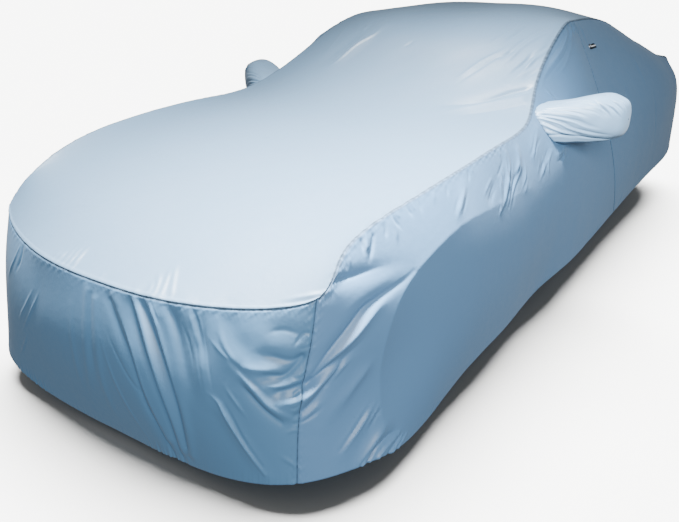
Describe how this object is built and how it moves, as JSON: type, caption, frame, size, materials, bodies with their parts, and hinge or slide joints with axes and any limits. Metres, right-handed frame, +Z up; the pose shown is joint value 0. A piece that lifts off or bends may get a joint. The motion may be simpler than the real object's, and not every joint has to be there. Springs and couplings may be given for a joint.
{
  "type": "fitted car cover",
  "caption": "Fitted outdoor cover for a low coupe: satin cloth drawn tight over bonnet, cabin and boot, with sewn side panels, mirror pockets, an elastic hem and a small webbing tab.",
  "frame": {"origin": "underside of the roof cloth on the centre line, where the cover rests on what it covers", "axes": "+Y from nose to tail, +Z up, +X towards the cover's left side, which has the tab"},
  "size_m": [2.182, 4.7468, 1.3202],
  "materials": {
    "top_cloth": "satin",
    "front_cloth": "satin",
    "side_cloth": "satin",
    "rear_cloth": "satin",
    "pocket_cloth": "satin",
    "tab_webbing": "matte"
  },
  "bodies": {
    "root": {"top_panel": "top_cloth", "front_panel": "front_cloth", "side_front_left": "side_cloth", "side_front_right": "side_cloth", "side_rear_left": "side_cloth", "side_rear_right": "side_cloth", "rear_panel": "rear_cloth", "mirror_pocket_left": "pocket_cloth", "mirror_pocket_right": "pocket_cloth", "side_tab": "tab_webbing"}
  },
  "joints": []
}
